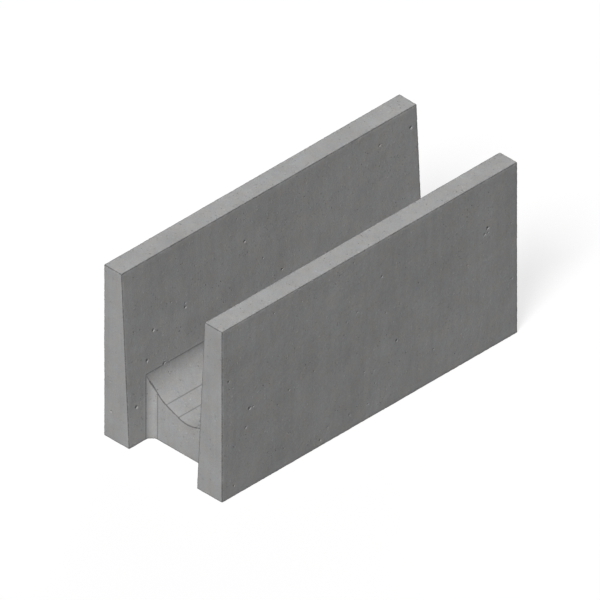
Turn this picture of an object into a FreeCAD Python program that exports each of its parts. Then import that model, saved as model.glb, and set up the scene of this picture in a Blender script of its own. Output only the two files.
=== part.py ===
import FreeCAD, Part
import math
import os
import Sketcher

# Lintel block: one casting of dense vibrated concrete. Laid in a row and
# propped, such blocks are the lasting mould of a lintel or ring beam. Two tall
# walls stand on a low floor that stops short of both ends, so the concrete
# poured into the row also fills a pocket at every joint.
# Sizes are in millimetres and degrees. The block lies along X, its channel
# opens upwards along Z, and the origin is the middle of its bed face.
sizes = {
    "block_length": 500,
    "block_width": 200,
    "block_height": 250,
    # The walls are thinnest at the rim. Every face that the mould's core
    # leaves behind leans by the draft, so that the core lifts out upwards.
    "wall_at_rim": 30,
    "core_draft": 3,
    # The floor is set back from each end by this much at the bed.
    "end_recess": 38,
    "recess_corner_radius": 10,
    # The channel's floor is dished: a round valley down the middle, a straight
    # slope on each side of it, and a wide round that runs up into the wall.
    "floor_at_middle": 45.5,
    "floor_slope": 20,
    "valley_radius": 42,
    "shoulder_radius": 40,
    # How far each cut runs on past the concrete.
    "cut_overrun": 20,
}

# A sketch knows its origin point and its two axes by these fixed numbers.
ORIGIN = (-1, 1)
X_AXIS = -1
Y_AXIS = -2

# Where the sketches start from, worked out from the sizes.
half_length = sizes["block_length"] / 2
half_width = sizes["block_width"] / 2
draft = math.radians(sizes["core_draft"])
slope = math.radians(sizes["floor_slope"])
wall_at_bed = sizes["wall_at_rim"] + sizes["block_height"] * math.tan(draft)

doc = FreeCAD.newDocument("lintel_block")
sheet = doc.addObject("Spreadsheet::Sheet", "Sizes")
for row, (name, value) in enumerate(sizes.items(), start=1):
    sheet.set("A%d" % row, name)
    sheet.set("B%d" % row, str(value))
    sheet.setAlias("B%d" % row, name)
doc.recompute()


def point(x, y):
    return FreeCAD.Vector(x, y, 0)


def mirrored(place):
    return point(-place.x, place.y)


def origin_plane(body, role):
    return [item for item in body.Origin.OriginFeatures if item.Role == role][0]


def new_sketch(body, name, role):
    """Lay an empty sketch on one of the body's origin planes."""
    sketch = body.newObject("Sketcher::SketchObject", name)
    sketch.AttachmentSupport = [(origin_plane(body, role), "")]
    sketch.MapMode = "FlatFace"
    return sketch


def hold(sketch, kind, *places):
    """Add a geometric rule to the sketch."""
    sketch.addConstraint(Sketcher.Constraint(kind, *places))


def measure(sketch, kind, *places, now, to):
    """Add a dimension, near its value to begin with, and tie it to the sheet."""
    number = sketch.addConstraint(Sketcher.Constraint(kind, *places, now))
    sketch.setExpression("Constraints[%d]" % number, to)


def add_line(sketch, start, end):
    return sketch.addGeometry(Part.LineSegment(start, end), False)


def add_arc(sketch, center, radius, start, end):
    """Draw an arc counter-clockwise between two angles in radians."""
    circle = Part.Circle(center, FreeCAD.Vector(0, 0, 1), radius)
    return sketch.addGeometry(Part.ArcOfCircle(circle, start, end), False)


def add_rectangle(sketch, left, right, half_depth):
    """Draw a rectangle evenly across the X axis, and return its near and right sides."""
    near_side = add_line(sketch, point(left, -half_depth), point(right, -half_depth))
    right_side = add_line(sketch, point(right, -half_depth), point(right, half_depth))
    far_side = add_line(sketch, point(right, half_depth), point(left, half_depth))
    left_side = add_line(sketch, point(left, half_depth), point(left, -half_depth))
    hold(sketch, "Coincident", near_side, 2, right_side, 1)
    hold(sketch, "Coincident", right_side, 2, far_side, 1)
    hold(sketch, "Coincident", far_side, 2, left_side, 1)
    hold(sketch, "Coincident", left_side, 2, near_side, 1)
    hold(sketch, "Horizontal", near_side)
    hold(sketch, "Horizontal", far_side)
    hold(sketch, "Vertical", left_side)
    hold(sketch, "Symmetric", right_side, 1, right_side, 2, X_AXIS)
    return near_side, right_side


def inside_outline(place):
    """Tell whether a place lies clear of the block's outer faces."""
    clear_by = 0.1
    return abs(place.x) < half_length - clear_by and abs(place.y) < half_width - clear_by


def steep(direction):
    """Tell whether a direction is nearer to upright than to level."""
    return abs(direction.z) > math.sin(math.pi / 4)


def rebuild(earlier, feature, gains):
    """Recompute, and make sure that the step added or took away concrete."""
    doc.recompute()
    change = feature.Shape.Volume - earlier.Shape.Volume
    if change * gains <= 0:
        raise RuntimeError(feature.Name + " has not changed the block as it should")


def add_plain_block(body):
    """The outside is a plain rectangular block, because the mould box has no draft."""
    outline = new_sketch(body, "Outline", "XY_Plane")
    near_side, right_side = add_rectangle(outline, -half_length, half_length, half_width)
    measure(
        outline, "DistanceX", near_side, 1, near_side, 2,
        now=2 * half_length, to="Sizes.block_length",
    )
    measure(
        outline, "DistanceX", near_side, 1, *ORIGIN,
        now=half_length, to="Sizes.block_length / 2",
    )
    measure(
        outline, "DistanceY", right_side, 1, right_side, 2,
        now=2 * half_width, to="Sizes.block_width",
    )
    block = body.newObject("PartDesign::Pad", "PlainBlock")
    block.Profile = (outline, [""])
    block.setExpression("Length", "Sizes.block_height")
    doc.recompute()
    return block


def cut_end_recesses(body, block):
    """Cut both ends back between the walls, drawn on the bed, where the walls are thickest."""
    outline = new_sketch(body, "RecessOutline", "XY_Plane")
    near_side, right_side = add_rectangle(
        outline,
        -half_length - sizes["cut_overrun"],
        -half_length + sizes["end_recess"],
        half_width - wall_at_bed,
    )
    measure(
        outline, "DistanceX", near_side, 2, *ORIGIN,
        now=half_length - sizes["end_recess"],
        to="Sizes.block_length / 2 - Sizes.end_recess",
    )
    measure(
        outline, "DistanceX", near_side, 1, near_side, 2,
        now=sizes["end_recess"] + sizes["cut_overrun"],
        to="Sizes.end_recess + Sizes.cut_overrun",
    )
    measure(
        outline, "DistanceY", right_side, 1, right_side, 2,
        now=2 * (half_width - wall_at_bed),
        to="Sizes.block_width - 2 * (Sizes.wall_at_rim + Sizes.block_height * tan(Sizes.core_draft))",
    )
    recess = body.newObject("PartDesign::Pocket", "Recess")
    recess.Profile = (outline, [""])
    recess.Reversed = True
    recess.setExpression("Length", "Sizes.block_height + Sizes.cut_overrun")
    rebuild(block, recess, gains=-1)

    both = body.newObject("PartDesign::Mirrored", "BothRecesses")
    both.Originals = [recess]
    both.MirrorPlane = (origin_plane(body, "YZ_Plane"), [""])
    body.Tip = both
    rebuild(recess, both, gains=-1)
    return both


def lean_recess_faces(body, recesses):
    """Lean the three faces of each recess back by the draft, from the bed upwards."""
    faces = []
    for number, face in enumerate(recesses.Shape.Faces, start=1):
        if inside_outline(face.CenterOfMass) and not steep(face.normalAt(0, 0)):
            faces.append("Face%d" % number)
    leaning = body.newObject("PartDesign::Draft", "CoreDraft")
    leaning.Base = (recesses, faces)
    leaning.NeutralPlane = (origin_plane(body, "XY_Plane"), [""])
    leaning.setExpression("Angle", "Sizes.core_draft")
    rebuild(recesses, leaning, gains=-1)
    return leaning


def round_recess_corners(body, leaning):
    """Fill the four corners where the ends of the floor meet the walls."""
    edges = []
    for number, edge in enumerate(leaning.Shape.Edges, start=1):
        if inside_outline(edge.CenterOfMass) and steep(edge.tangentAt(edge.FirstParameter)):
            edges.append("Edge%d" % number)
    rounded = body.newObject("PartDesign::Fillet", "RecessCorners")
    rounded.Base = (leaning, edges)
    rounded.setExpression("Radius", "Sizes.recess_corner_radius")
    rebuild(leaning, rounded, gains=1)
    return rounded


def draw_channel_section(body):
    """Draw the channel's end view: walls, shoulders, slopes and valley, each tangent to the next."""
    top = sizes["block_height"] + sizes["cut_overrun"]
    half_mouth = half_width - sizes["wall_at_rim"] + sizes["cut_overrun"] * math.tan(draft)
    valley_radius = sizes["valley_radius"]
    valley_height = sizes["floor_at_middle"] + valley_radius
    shoulder_radius = sizes["shoulder_radius"]

    mouth_end = point(half_mouth, top)
    off_wall = point(-math.cos(draft), math.sin(draft))
    off_slope = point(-math.sin(slope), math.cos(slope))
    up_slope = point(math.cos(slope), math.sin(slope))
    slope_foot = point(0, valley_height) - off_slope * valley_radius
    # The shoulder's centre lies its radius off the slope and off the wall.
    reach = mouth_end - slope_foot - off_slope * shoulder_radius
    slope_length = (shoulder_radius + reach.dot(off_wall)) / up_slope.dot(off_wall)
    slope_head = slope_foot + up_slope * slope_length
    shoulder_middle = slope_head + off_slope * shoulder_radius
    wall_foot = shoulder_middle - off_wall * shoulder_radius
    down = 1.5 * math.pi

    section = new_sketch(body, "ChannelSection", "YZ_Plane")
    mouth = add_line(section, mirrored(mouth_end), mouth_end)
    right_wall = add_line(section, wall_foot, mouth_end)
    left_wall = add_line(section, mirrored(wall_foot), mirrored(mouth_end))
    right_slope = add_line(section, slope_foot, slope_head)
    left_slope = add_line(section, mirrored(slope_foot), mirrored(slope_head))
    right_shoulder = add_arc(
        section, shoulder_middle, shoulder_radius, down + slope, 2 * math.pi - draft
    )
    left_shoulder = add_arc(
        section, mirrored(shoulder_middle), shoulder_radius, math.pi + draft, down - slope
    )
    valley = add_arc(
        section, point(0, valley_height), valley_radius, down - slope, down + slope
    )

    hold(section, "Coincident", mouth, 2, right_wall, 2)
    hold(section, "Coincident", mouth, 1, left_wall, 2)
    hold(section, "Tangent", right_wall, 1, right_shoulder, 2)
    hold(section, "Tangent", right_shoulder, 1, right_slope, 2)
    hold(section, "Tangent", right_slope, 1, valley, 2)
    hold(section, "Tangent", valley, 1, left_slope, 1)
    hold(section, "Tangent", left_slope, 2, left_shoulder, 2)
    hold(section, "Tangent", left_shoulder, 1, left_wall, 1)
    hold(section, "Symmetric", mouth, 1, mouth, 2, Y_AXIS)
    hold(section, "Equal", right_shoulder, left_shoulder)
    hold(section, "PointOnObject", valley, 3, Y_AXIS)

    measure(
        section, "DistanceX", mouth, 1, mouth, 2,
        now=2 * half_mouth,
        to="Sizes.block_width - 2 * Sizes.wall_at_rim + 2 * Sizes.cut_overrun * tan(Sizes.core_draft)",
    )
    measure(
        section, "DistanceY", *ORIGIN, mouth, 2,
        now=top, to="Sizes.block_height + Sizes.cut_overrun",
    )
    measure(
        section, "DistanceY", *ORIGIN, valley, 3,
        now=valley_height, to="Sizes.floor_at_middle + Sizes.valley_radius",
    )
    measure(section, "Radius", valley, now=valley_radius, to="Sizes.valley_radius")
    measure(section, "Radius", right_shoulder, now=shoulder_radius, to="Sizes.shoulder_radius")
    measure(section, "Angle", right_wall, now=math.pi / 2 - draft, to="90 - Sizes.core_draft")
    measure(section, "Angle", left_wall, now=math.pi / 2 + draft, to="90 + Sizes.core_draft")
    measure(section, "Angle", right_slope, now=slope, to="Sizes.floor_slope")
    measure(section, "Angle", left_slope, now=math.pi - slope, to="180 - Sizes.floor_slope")
    return section


def cut_channel(body, rounded):
    """Cut the channel through the whole length, down to the dished floor."""
    channel = body.newObject("PartDesign::Pocket", "Channel")
    channel.Profile = (draw_channel_section(body), [""])
    channel.SideType = "Symmetric"
    channel.setExpression("Length", "Sizes.block_length + 2 * Sizes.cut_overrun")
    rebuild(rounded, channel, gains=-1)


def write_when_sound(body):
    """Write the piece only if every step held and it is one solid."""
    for item in doc.Objects:
        if "Invalid" in item.State or "Error" in item.State:
            raise RuntimeError(item.Name + " failed: " + str(item.State))
        if item.isDerivedFrom("Sketcher::SketchObject") and not item.FullyConstrained:
            raise RuntimeError(item.Name + " is not fully constrained")
    shape = body.Shape
    if shape.isNull() or not shape.isValid() or len(shape.Solids) != 1:
        raise RuntimeError(body.Label + " is not one sound solid")
    os.makedirs("parts", exist_ok=True)
    shape.exportStep("parts/" + body.Label + ".step")
    print(body.Label, round(shape.Volume / 1e6, 4), "litres,", len(shape.Faces), "faces")


lintel_block = doc.addObject("PartDesign::Body", "LintelBlock")
lintel_block.Label = "lintel_block"
doc.recompute()
plain = add_plain_block(lintel_block)
recessed = cut_end_recesses(lintel_block, plain)
leaning = lean_recess_faces(lintel_block, recessed)
rounded = round_recess_corners(lintel_block, leaning)
cut_channel(lintel_block, rounded)
write_when_sound(lintel_block)
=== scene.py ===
import math
import random

import bmesh
import bpy
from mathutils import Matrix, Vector, kdtree, noise


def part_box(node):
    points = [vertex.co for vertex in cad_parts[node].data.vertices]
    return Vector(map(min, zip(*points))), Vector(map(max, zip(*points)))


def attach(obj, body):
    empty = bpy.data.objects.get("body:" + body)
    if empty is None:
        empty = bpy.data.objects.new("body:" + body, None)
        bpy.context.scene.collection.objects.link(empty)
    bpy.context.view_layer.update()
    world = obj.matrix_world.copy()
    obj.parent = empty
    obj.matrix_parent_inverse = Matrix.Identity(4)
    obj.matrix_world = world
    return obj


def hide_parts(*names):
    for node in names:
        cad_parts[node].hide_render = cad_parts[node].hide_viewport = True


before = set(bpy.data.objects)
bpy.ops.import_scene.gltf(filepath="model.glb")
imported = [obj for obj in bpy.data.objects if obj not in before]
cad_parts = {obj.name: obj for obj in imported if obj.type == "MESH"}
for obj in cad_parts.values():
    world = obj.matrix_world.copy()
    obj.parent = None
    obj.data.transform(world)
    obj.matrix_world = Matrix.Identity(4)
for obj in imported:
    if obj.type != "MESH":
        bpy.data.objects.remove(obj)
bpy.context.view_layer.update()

scene = bpy.context.scene


# Lintel block: one U-shaped casting of dense grey concrete, laid in a wall to carry it over an opening.
# Almost dry concrete is pressed round a steel core in a mould box and stripped at once, so its faces
# are sandy, with small voids in them, and its arrises are square but a little crumbled.
half_length, half_width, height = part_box("lintel_block")[1]
wall_at_rim = 0.030
core_lean = math.radians(3)  # every face that the core shapes leans, so that the core lets go
end_recess = 0.038  # from the block's end to the floor's end, at the bed
recess_corner_round = 0.010
floor_at_middle = 0.0455
floor_slope = math.radians(20)
valley_round = 0.042
shoulder_round = 0.040


def in_order(shape):
    """Puts a mesh's parts in one order, by place, so that each run gives the same mesh."""
    for parts, place in (
        (shape.verts, lambda v: v.co),
        (shape.edges, lambda e: e.verts[0].co + e.verts[1].co),
        (shape.faces, lambda f: f.calc_center_median()),
    ):
        parts.sort(key=lambda part: round(place(part).dot((1e6, 1e3, 1)), 3))
        parts.index_update()


def bmesh_into_object(shape, name):
    """Turns a finished shape into an object of the scene."""
    mesh = bpy.data.meshes.new(name)
    shape.to_mesh(mesh)
    shape.free()
    made = bpy.data.objects.new(name, mesh)
    scene.collection.objects.link(made)
    return made


def half_gap(z):
    """Half of the distance between the two walls, at a height above the bed."""
    return half_width - wall_at_rim - (height - z) * math.tan(core_lean)


def floor_end(z):
    """How far the floor reaches to each side of the block's middle, at a height above the bed."""
    return half_length - end_recess - z * math.tan(core_lean)


# The channel's line, from wall to wall: shoulder, slope, valley, slope, shoulder.
wall_face = Vector((0, -math.cos(core_lean), math.sin(core_lean)))
slope_face = Vector((0, -math.sin(floor_slope), math.cos(floor_slope)))
up_slope = Vector((0, math.cos(floor_slope), math.sin(floor_slope)))
down_slope = Vector((0, up_slope.y, -up_slope.z))
at_left_end = Vector((-half_length, 0, 0))
valley_centre = at_left_end + Vector((0, 0, floor_at_middle + valley_round))
over_foot = valley_centre + slope_face * (shoulder_round - valley_round)
rim_arris = at_left_end + Vector((0, half_gap(height), height))
slope_length = (shoulder_round - (over_foot - rim_arris).dot(wall_face)) / up_slope.dot(wall_face)
shoulder_centre = over_foot + up_slope * slope_length
other_shoulder_centre = Vector((-half_length, -shoulder_centre.y, shoulder_centre.z))
shoulder_turn = math.pi / 2 - core_lean - floor_slope
shoulder_top = shoulder_centre - wall_face * shoulder_round
shoulder_steps = 20
slope_steps = 4
valley_steps = 14

u_shape = bmesh.new()
start = end = u_shape.verts.new((-half_length, -shoulder_top.y, shoulder_top.z))
plate_joints = [start.co.copy()]  # where one plate of the core ends and the next one begins
for centre, turn, slide, steps in (
    (other_shoulder_centre, shoulder_turn, Vector(), shoulder_steps),
    (valley_centre, 0, down_slope * slope_length, slope_steps),
    (valley_centre, 2 * floor_slope, Vector(), valley_steps),
    (valley_centre, 0, up_slope * slope_length, slope_steps),
    (shoulder_centre, shoulder_turn, Vector(), shoulder_steps),
):
    swept = bmesh.ops.spin(
        u_shape, geom=[end], cent=centre, axis=(1, 0, 0), angle=turn, dvec=slide / steps, steps=steps
    )
    end = next(g for g in swept["geom_last"] if isinstance(g, bmesh.types.BMVert))
    plate_joints.append(end.co.copy())
floor_line = [v.co.copy() for v in u_shape.verts]
for y, z in (
    (half_gap(height), height),
    (half_width, height),
    (half_width, 0),
    (-half_width, 0),
    (-half_width, height),
    (-half_gap(height), height),
):
    corner = u_shape.verts.new((-half_length, y, z))
    u_shape.edges.new((end, corner))
    end = corner
u_shape.edges.new((end, start))
section = [u_shape.faces.new(u_shape.verts)]
drawn_out = bmesh.ops.extrude_face_region(u_shape, geom=section)["geom"]
far_end = [g for g in drawn_out if isinstance(g, bmesh.types.BMVert)]
bmesh.ops.translate(u_shape, vec=(2 * half_length, 0, 0), verts=far_end)
bmesh.ops.recalc_face_normals(u_shape, faces=u_shape.faces[:])
in_order(u_shape)
whole = bmesh_into_object(u_shape, "u_shape")

# The two ends of the core, which leave the recesses. They pass the end, the bed and the rim a little.
past = 0.010
round_steps = 10
for side in (-1, 1):
    core_end = bmesh.new()
    bmesh.ops.create_cube(core_end, size=1)
    for v in core_end.verts:
        z = -past if v.co.z < 0 else height + past
        x = half_length + past if v.co.x * side > 0 else floor_end(z)
        v.co = Vector((side * x, math.copysign(half_gap(z), v.co.y), z))
    core_end.normal_update()
    inner_corners = [
        e
        for e in core_end.edges
        if all(abs(v.co.x) < half_length for v in e.verts)
        and e.verts[0].co.z != e.verts[1].co.z
        and e.verts[0].co.y * e.verts[1].co.y > 0
    ]
    bmesh.ops.bevel(
        core_end, geom=inner_corners, offset=recess_corner_round, offset_type="OFFSET",
        segments=round_steps, profile=0.5, affect="EDGES", material=-1,
    )
    taken_out = whole.modifiers.new("core_end", "BOOLEAN")
    taken_out.operation = "DIFFERENCE"
    taken_out.solver = "EXACT"
    taken_out.object = bmesh_into_object(core_end, "core_end")
bpy.context.view_layer.update()
cast = bmesh.new()
cast.from_mesh(whole.evaluated_get(bpy.context.evaluated_depsgraph_get()).to_mesh())
for o in [m.object for m in whole.modifiers] + [whole]:
    bpy.data.objects.remove(o)
in_order(cast)

on_the_cut = 0.0004  # a corner nearer than this to a saw cut counts as on it
one_point = 0.0001  # corners nearer than this to each other are one
one_plane = math.radians(0.6)  # faces that meet at less than this are one


def saw(at_bed, at_rim, along, wanted):
    """Cuts the wanted faces by the plane through two points, at the heights of the bed and the rim."""
    faces = [f for f in cast.faces if wanted(f)]
    edges = dict.fromkeys(e for f in faces for e in f.edges)
    verts = dict.fromkeys(v for f in faces for v in f.verts)
    across = (Vector(at_rim) - Vector(at_bed)).cross(Vector(along))
    bmesh.ops.bisect_plane(
        cast, geom=[*faces, *edges, *verts], dist=on_the_cut, plane_co=at_bed, plane_no=across
    )


# A cut where the recess rounds meet the walls gives the seams there a point to be merged with.
along_block = (1, 0, 0)
across_block = (0, 1, 0)
round_foot = (floor_end(0) + recess_corner_round, floor_end(height) + recess_corner_round)
for side in (-1, 1):
    saw((side * round_foot[0], 0, 0), (side * round_foot[1], 0, height), across_block, lambda f: True)
bmesh.ops.remove_doubles(cast, verts=cast.verts[:], dist=one_point)
in_order(cast)
bmesh.ops.dissolve_degenerate(cast, dist=one_point, edges=cast.edges[:])
in_order(cast)
bmesh.ops.dissolve_limit(
    cast, angle_limit=one_plane, use_dissolve_boundaries=False,
    verts=cast.verts[:], edges=cast.edges[:],
)
in_order(cast)


def lines_to_points(lines, apart=0.001):
    """A tree of points about 1 mm apart along straight lines, to measure the distance from them."""
    points = []
    for a, b in lines:
        steps = math.ceil((b - a).length / apart)
        points += [a.lerp(b, (i + 0.5) / steps) for i in range(steps)]
    tree = kdtree.KDTree(len(points))
    for i, point in enumerate(points):
        tree.insert(point, i)
    tree.balance()
    return tree


# The arrises, and the seams that the core's plates leave: along the floor, and up the recess corners.
# An edge that is too blunt for an arris counts as a seam.
arris_angle = math.radians(35)
blunt_angle = math.radians(12)
arris_lines = [[v.co.copy() for v in e.verts] for e in cast.edges if e.calc_face_angle() > arris_angle]
arrises = lines_to_points(arris_lines)
seam_lines = [
    [v.co.copy() for v in e.verts]
    for e in cast.edges
    if blunt_angle < e.calc_face_angle() <= arris_angle
]
for joint in plate_joints:
    on_wall = joint in (plate_joints[0], plate_joints[-1])
    reach = floor_end(joint.z) + (recess_corner_round if on_wall else 0)
    seam_lines.append([Vector((-reach, joint.y, joint.z)), Vector((reach, joint.y, joint.z))])

# A recess round has one seam up the wall, to the shoulder's top, and one up the floor's end, as far as
# the channel, which is this much higher there than at its middle.
channel_rise = 0.0185
for x_side in (-1, 1):
    for y_side in (-1, 1):
        for x_gap, y_gap, top in (
            (recess_corner_round, 0, shoulder_top.z),
            (0, recess_corner_round, floor_at_middle + channel_rise),
        ):
            seam_lines.append([
                Vector((x_side * (floor_end(z) + x_gap), y_side * (half_gap(z) - y_gap), z))
                for z in (0, top)
            ])
seams = lines_to_points(seam_lines)


def from_arris(point):
    """How far a point is from the nearest arris."""
    return arrises.find(point)[2]


def from_seam(point):
    """How far a point is from the nearest seam."""
    return seams.find(point)[2]


# The faces are sawn into small squares, so that they can take the marks of the casting. A face is known
# by the parts of its normal along the block and upright, and by where its middle lies.
no_part = 0.02
core_lean_part = 0.09  # a little more than the core's lean gives
most_part = 0.9
same_slope = 0.002
at_surface = 0.001


def runs_lengthwise(face):
    return abs(face.normal.x) < no_part


def is_upright(face):
    return abs(face.normal.z) < core_lean_part


def is_bed(face):
    return face.normal.z < -most_part


def is_rim(face):
    return face.normal.z > most_part and face.calc_center_median().z > height - at_surface


def is_slope(face):
    return abs(face.normal.z - slope_face.z) < same_slope


def faces_endwards(face):
    return abs(face.normal.x) > most_part


def is_wall_end(face):
    return faces_endwards(face) and abs(face.calc_center_median().x) > half_length - at_surface


def is_floor_end(face):
    return faces_endwards(face) and abs(face.calc_center_median().x) < half_length - at_surface


columns = 34  # from the middle of the block to the floor's end
rows = 40  # from the bed to the rim
strips = 5  # across a wall, and from a recess round to the block's end
lower_channel = 0.046  # to each side of the middle, where the channel's own lines are cut by too
cuts = [(i / columns * floor_end(0), i / columns * floor_end(height)) for i in range(columns + 1)]
cuts.append((floor_end(0) + recess_corner_round / 2, floor_end(height) + recess_corner_round / 2))
cuts += [tuple(x + i / strips * (half_length - x) for x in round_foot) for i in range(strips)]
for bed_x, rim_x in cuts:
    for side in (-1, 1):
        saw((side * bed_x, 0, 0), (side * rim_x, 0, height), across_block, runs_lengthwise)
for i in range(1, rows):
    z = height * i / rows
    saw((0, 0, z), (1, 0, z), across_block, is_upright)
for i in range(strips):
    bed_y = half_gap(0) + i / strips * (half_width - half_gap(0))
    rim_y = half_gap(height) + i / strips * wall_at_rim
    for side in (-1, 1):
        saw(
            (0, side * bed_y, 0), (0, side * rim_y, height), along_block,
            lambda f: is_bed(f) or i > 0 and (is_rim(f) or is_wall_end(f)),
        )
for point in floor_line:
    if abs(point.y) < lower_channel:
        saw(
            (0, point.y, 0), (0, point.y, height), along_block,
            lambda f: is_bed(f) or is_floor_end(f) or is_slope(f),
        )
bmesh.ops.triangulate(cast, faces=[f for f in cast.faces if len(f.verts) > 4])
in_order(cast)

# Voids: small holes where the stiff mix didn't close against the steel.
random.seed(7)
voids_tried = 200
clear_of_arris = 0.006
least_void = 0.0010  # half of the smallest void's width
void_range = 0.0013  # how much more the widest has
squares = cast.faces[:]
voids = []
for square in random.choices(squares, weights=[f.calc_area() for f in squares], k=voids_tried):
    middle = square.calc_center_median()
    if from_arris(middle) > clear_of_arris:
        voids.append((middle, square.normal.copy(), least_void + void_range * random.random() ** 3))
void_places = kdtree.KDTree(len(voids))
for i, (middle, outwards, size) in enumerate(voids):
    void_places.insert(middle, i)
void_places.balance()


def from_void(point):
    """How far a point is from the edge of the nearest void."""
    place, i, distance = void_places.find(point)
    return distance - voids[i][2]


# The squares are cut finer towards the voids, the seams and the arrises: 6 mm, 3 mm, 1.5 mm, and
# 0.8 mm where an arris crumbles.
everywhere = -9
crumbles_per_metre = 90


def crumbles(point, level):
    """Whether an arris crumbles there: in fewer places for a higher level."""
    return noise.fractal(point * crumbles_per_metre, 1.0, 2.0, 3) > level


def cut_finer(near_arris, near_void, near_seam, level):
    """Halves the edges of the squares that lie that near to a mark."""
    edges = {}
    for f in cast.faces:
        middle = f.calc_center_median()
        if (
            from_void(middle) < near_void
            or from_seam(middle) < near_seam
            or from_arris(middle) < near_arris and crumbles(middle, level)
        ):
            edges.update(dict.fromkeys(f.edges))
    bmesh.ops.subdivide_edges(cast, edges=list(edges), cuts=1, use_grid_fill=True)
    in_order(cast)


cut_finer(near_arris=0.0075, near_void=0.0070, near_seam=0.0050, level=everywhere)
cut_finer(near_arris=0.0036, near_void=0.0035, near_seam=0.0021, level=everywhere)
cut_finer(near_arris=0.0017, near_void=0.0015, near_seam=0, level=0.02)
bmesh.ops.triangulate(cast, faces=[f for f in cast.faces if len(f.verts) > 4])
in_order(cast)

# The arrises are rubbed a little everywhere, and more in patches. The seams stand up as low fins.
rub_reach = 0.0024
crumbled_reach = 0.003
seam_reach = 0.0015
lost_grain = 0.00035
out_of_true = 0.0002
fin_height = 0.0002
grains_per_metre = 900
waves_per_metre = 22
crumbled = cast.verts.layers.float.new("crumbled")
seam = cast.verts.layers.float.new("seam")
# The void mark keeps how deep each corner lies in its void, so that shade can be painted into it.
void_shade_depth = cast.verts.layers.float.new("void")
for level in (everywhere, everywhere, 0.0, 0.15, 0.3, 0.45):
    rubbed = [v for v in cast.verts if from_arris(v.co) < rub_reach and crumbles(v.co, level)]
    bmesh.ops.smooth_vert(
        cast, verts=rubbed, factor=0.5, use_axis_x=True, use_axis_y=True, use_axis_z=True
    )
cast.normal_update()
# The crumbled mark also darkens a thin band along each arris in the material, partly as painted shade.
for v in cast.verts:
    v[crumbled] = max(0.0, 1 - from_arris(v.co) / crumbled_reach)
    v[seam] = max(0.0, 1 - from_seam(v.co) / seam_reach)
    grains = 0.5 + 0.5 * noise.noise(v.co * grains_per_metre)
    uneven = max(0.0, 0.5 + 0.5 * noise.fractal(v.co * waves_per_metre, 1.0, 2.0, 3))
    fin = fin_height * v[seam] * (1 - v[crumbled])
    v.co -= v.normal * (lost_grain * v[crumbled] * grains + out_of_true * uneven - fin)

# Each void is dented in last, with a ragged edge.
ragged_edge = 0.4
dents_per_metre = 500
depth_to_size = 0.8
cast.verts.ensure_lookup_table()
spots = kdtree.KDTree(len(cast.verts))
for i, v in enumerate(cast.verts):
    spots.insert(v.co, i)
spots.balance()
for middle, outwards, size in voids:
    for place, i, distance in spots.find_range(middle, size * (1 + ragged_edge)):
        reach = size * (1 + ragged_edge * noise.noise(place * dents_per_metre))
        depth = math.sqrt(max(0.0, 1 - (distance / reach) ** 2))
        v = cast.verts[i]
        v[void_shade_depth] = max(v[void_shade_depth], depth)
        v.co -= outwards * depth * size * depth_to_size
bmesh.ops.triangulate(cast, faces=cast.faces[:])
for part in [*cast.faces, *cast.edges]:
    part.smooth = True
lintel = bmesh_into_object(cast, "cast_lintel_block")

# Concrete: cement grey, clouded where the mix was wetter or drier, streaked upright by the mould,
# with grains of sand and gravel in its skin, and pinholes.
concrete = bpy.data.materials.new("concrete")
concrete.use_nodes = True


def add_node(owner, kind, inputs, **settings):
    """Adds a node, with a number or another node's output for each named or numbered input."""
    made = owner.node_tree.nodes.new("ShaderNode" + kind)
    for name, value in settings.items():
        setattr(made, name, value)
    for socket, value in inputs.items():
        if isinstance(value, bpy.types.NodeSocket):
            owner.node_tree.links.new(value, made.inputs[socket])
        else:
            made.inputs[socket].default_value = value
    return made.outputs


def noise_at(size, detail, roughness=0.5, place=None):
    """Soft blotches, 0 to 1, of about that size in metres."""
    inputs = {"Vector": place or on_block, "Scale": 1 / size, "Detail": detail, "Roughness": roughness}
    return add_node(concrete, "TexNoise", inputs)[0]


def spread(value, low, high, to_low, to_high):
    """The value, with low to high stretched to to_low to to_high and nothing beyond."""
    inputs = {0: value, 1: low, 2: high, 3: to_low, 4: to_high}
    return add_node(concrete, "MapRange", inputs, clamp=True)[0]


def times(*values):
    """The product of all the values."""
    product = values[0]
    for value in values[1:]:
        product = add_node(concrete, "Math", {0: product, 1: value}, operation="MULTIPLY")[0]
    return product


on_block = add_node(concrete, "TexCoord", {})["Object"]
clouds = noise_at(0.110, 2)
patches = noise_at(0.028, 4, 0.6)
stretched = add_node(concrete, "Mapping", {"Vector": on_block, "Scale": (1, 1, 0.07)})[0]
streaks = noise_at(0.007, 3, 0.6, stretched)
sand = noise_at(0.0016, 3, 0.75)
unevenness = noise_at(0.009, 3, 0.6)

# Each grain is one cell: most stay under the cement skin, a few show light or dark.
wander_size = 0.0022
grain_size = 0.0042
wander = add_node(concrete, "TexNoise", {"Vector": on_block, "Scale": 1 / wander_size, "Detail": 2})["Color"]
wander = add_node(concrete, "VectorMath", {0: wander, 1: (0.5, 0.5, 0.5)}, operation="SUBTRACT")[0]
wander = add_node(concrete, "VectorMath", {0: wander, "Scale": wander_size}, operation="SCALE")[0]
ragged = add_node(concrete, "VectorMath", {0: on_block, 1: wander}, operation="ADD")[0]
grain = add_node(concrete, "TexVoronoi", {"Vector": ragged, "Scale": 1 / grain_size})
grain_kind = add_node(concrete, "SeparateColor", {0: grain["Color"]})
grain_body = spread(grain["Distance"], 0.20, 0.36, 1, 0)
light_grain = times(spread(grain_kind[0], 0.86, 0.92, 0, 1), grain_body)
dark_grain = times(spread(grain_kind[1], 0.84, 0.90, 0, 1), grain_body)
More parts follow.
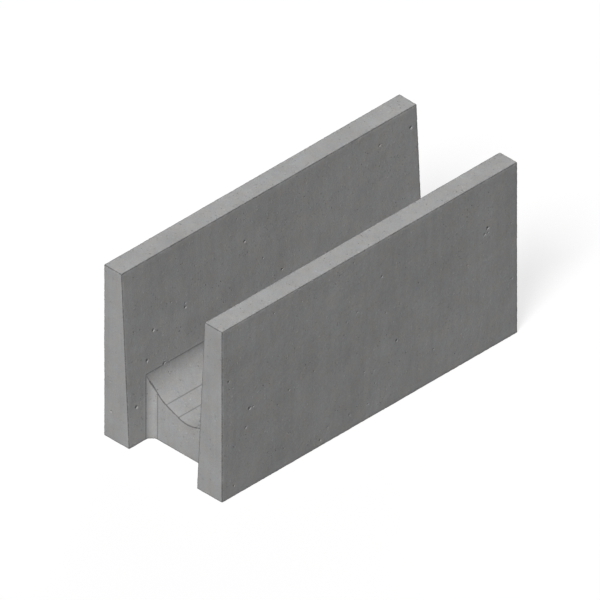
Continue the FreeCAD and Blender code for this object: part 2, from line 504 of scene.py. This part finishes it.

# Pinholes come in all sizes and in groups, where the mix was drier, and most on the struck rim. They are
# painted dark inside: painted shade in the holes.
pinhole_cell = 0.0036
less = add_node(concrete, "VectorMath", {0: wander, "Scale": 0.45}, operation="SCALE")[0]
nearly_round = add_node(concrete, "VectorMath", {0: on_block, 1: less}, operation="ADD")[0]
pinhole = add_node(concrete, "TexVoronoi", {"Vector": nearly_round, "Scale": 1 / pinhole_cell})
pinhole_kind = add_node(concrete, "SeparateColor", {0: pinhole["Color"]})
height_up = add_node(concrete, "SeparateXYZ", {0: on_block})[2]
on_rim = spread(height_up, height - 0.0030, height - 0.0010, 0, 0.10)
dryness = add_node(concrete, "Math", {0: noise_at(0.019, 2), 1: on_rim}, operation="ADD")[0]
pinhole_reach = times(spread(dryness, 0.46, 0.62, 0.10, 0.27), spread(pinhole_kind[0], 0.2, 1, 0, 1))
wider = add_node(concrete, "Math", {0: pinhole["Distance"], 1: pinhole_reach}, operation="SUBTRACT")[0]
pinholes = spread(wider, -0.14, 0.02, 1, 0)


def made_grainy(mark):
    """One of the mesh's marks, with its edge broken up by the sand."""
    place = add_node(concrete, "Attribute", {}, attribute_name=mark)["Fac"]
    shift = spread(sand, 0.3, 0.7, -0.16, 0.16)
    return add_node(concrete, "Math", {0: place, 1: shift}, operation="ADD")[0]


shade = times(
    spread(clouds, 0.3, 0.7, 0.95, 1.05),
    spread(patches, 0.3, 0.7, 0.95, 1.05),
    spread(streaks, 0.3, 0.7, 0.965, 1.035),
    spread(sand, 0.25, 0.75, 0.88, 1.12),
    spread(light_grain, 0, 1, 1, 1.16),
    spread(dark_grain, 0, 1, 1, 0.80),
    # painted shade: each pinhole is painted much darker inside
    spread(pinholes, 0, 1, 1, 0.42),
    # darker in a thin band along each arris: partly the crumbled edge's own darker grains, partly painted
    # shade of the small shadows among them
    spread(made_grainy("crumbled"), 0.42, 0.78, 1, 0.36),
    spread(made_grainy("seam"), 0.20, 0.90, 1, 0.50),
    # painted shade: each void is painted darker the deeper it goes
    spread(made_grainy("void"), 0.16, 1, 1, 0.70),
)
cool_grey = (0.306, 0.310, 0.316, 1)
warm_grey = (0.316, 0.310, 0.302, 1)
warmth = spread(noise_at(0.012, 3), 0.3, 0.7, 0, 1)
cement = add_node(concrete, "Mix", {0: warmth, 6: cool_grey, 7: warm_grey}, data_type="RGBA")[2]
colour = add_node(concrete, "VectorMath", {0: cement, "Scale": shade}, operation="SCALE")[0]
roughness = spread(sand, 0.25, 0.75, 0.84, 0.96)

rise = add_node(concrete, "Bump", {"Height": unevenness, "Distance": 0.00035, "Strength": 1})[0]
for stands_up, by in ((sand, 0.00025), (light_grain, 0.00015)):
    raised = {"Height": stands_up, "Distance": by, "Strength": 1, "Normal": rise}
    rise = add_node(concrete, "Bump", raised)[0]
sunk = {"Height": pinholes, "Distance": 0.0004, "Strength": 1, "Normal": rise}
rise = add_node(concrete, "Bump", sunk, invert=True)[0]

surface = concrete.node_tree.nodes["Principled BSDF"]
surface.inputs["Specular IOR Level"].default_value = 0.3
concrete.node_tree.links.new(colour, surface.inputs["Base Color"])
concrete.node_tree.links.new(roughness, surface.inputs["Roughness"])
concrete.node_tree.links.new(rise, surface.inputs["Normal"])
lintel.data.materials.append(concrete)
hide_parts("lintel_block")
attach(lintel, "root")


# Floor: a plain white studio floor that runs out of the picture on every side.
# The camera sees it nearly white, and it throws back only a little light.
floor_reach = 6
under_bed = -0.0002
white = (1, 1, 1, 1)
seen_white = (0.96, 0.96, 0.96, 1)
unseen_grey = (0.15, 0.15, 0.15, 1)
shadow_share = 0.22  # how much of the lamps' light and shadow the floor shows
floor_sheet = bmesh.new()
bmesh.ops.create_grid(floor_sheet, x_segments=1, y_segments=1, size=floor_reach)
bmesh.ops.translate(floor_sheet, vec=(0, 0, under_bed), verts=floor_sheet.verts[:])
floor = bmesh_into_object(floor_sheet, "floor")
paint = bpy.data.materials.new("floor_paint")
paint.use_nodes = True
paint.node_tree.nodes.clear()


def seen_directly(owner):
    """1 where the camera looks, also by way of gloss or glass, and 0 where light is only thrown back."""
    ray = add_node(owner, "LightPath", {})
    seen = add_node(owner, "Math", {0: ray["Is Camera Ray"], 1: ray["Is Glossy Ray"]}, operation="MAXIMUM")[0]
    return add_node(owner, "Math", {0: seen, 1: ray["Is Transmission Ray"]}, operation="MAXIMUM")[0]


glow = add_node(paint, "Emission", {"Color": white, "Strength": 1})[0]
lit = add_node(paint, "BsdfDiffuse", {"Color": seen_white})[0]
seen_floor = add_node(paint, "MixShader", {0: shadow_share, 1: glow, 2: lit})[0]
dim = add_node(paint, "BsdfDiffuse", {"Color": unseen_grey})[0]
painted = add_node(paint, "MixShader", {0: seen_directly(paint), 1: dim, 2: seen_floor})[0]
add_node(paint, "OutputMaterial", {"Surface": painted})
floor.data.materials.append(paint)


# Light: a large soft lamp high on the left, a weaker one low behind on the right, and a dim even sky.
# The camera sees the sky as white, like the plain ground of the picture.
sky_strength = 0.04


def add_lamp(name, comes_from, strength, degrees_wide):
    """Adds a far lamp, which looks that wide from the block."""
    lamp = bpy.data.lights.new(name, "SUN")
    lamp.energy = strength
    lamp.angle = math.radians(degrees_wide)
    made = bpy.data.objects.new(name, lamp)
    made.rotation_euler = Vector(comes_from).to_track_quat("Z", "Y").to_euler()
    scene.collection.objects.link(made)


add_lamp("key_lamp", comes_from=(-0.795, -0.378, 0.960), strength=4.105, degrees_wide=20)
add_lamp("back_lamp", comes_from=(0.86, 0.51, 0.02), strength=2.75, degrees_wide=40)
sky = bpy.data.worlds.new("sky")
sky.use_nodes = True
dim_sky = sky.node_tree.nodes["Background"]
dim_sky.inputs["Color"].default_value = white
dim_sky.inputs["Strength"].default_value = sky_strength
seen_sky = add_node(sky, "Background", {"Color": white, "Strength": 1})[0]
whole_sky = add_node(sky, "MixShader", {0: seen_directly(sky), 1: dim_sky.outputs[0], 2: seen_sky})[0]
sky.node_tree.links.new(whole_sky, sky.node_tree.nodes["World Output"].inputs["Surface"])
scene.world = sky


# Camera: a true isometric view from above the left end, with no vanishing points, as in the picture.
# The frame's width and the two shifts put the block where the picture has it.
frame_width = 0.7175
shift_right = -0.0128
shift_up = 0.1003
stand_off = 3
camera = bpy.data.cameras.new("camera")
camera.type = "ORTHO"
camera.ortho_scale = frame_width
camera.clip_end = 20
viewer = bpy.data.objects.new("camera", camera)
back = Vector((-1, -1, 1)).normalized()
right = Vector((1, -1, 0)).normalized()
up = back.cross(right)
viewer.location = shift_right * right + shift_up * up + stand_off * back
viewer.rotation_euler = back.to_track_quat("Z", "Y").to_euler()
scene.collection.objects.link(viewer)
scene.camera = viewer
scene.view_settings.view_transform = "Standard"

bpy.context.view_layer.update()
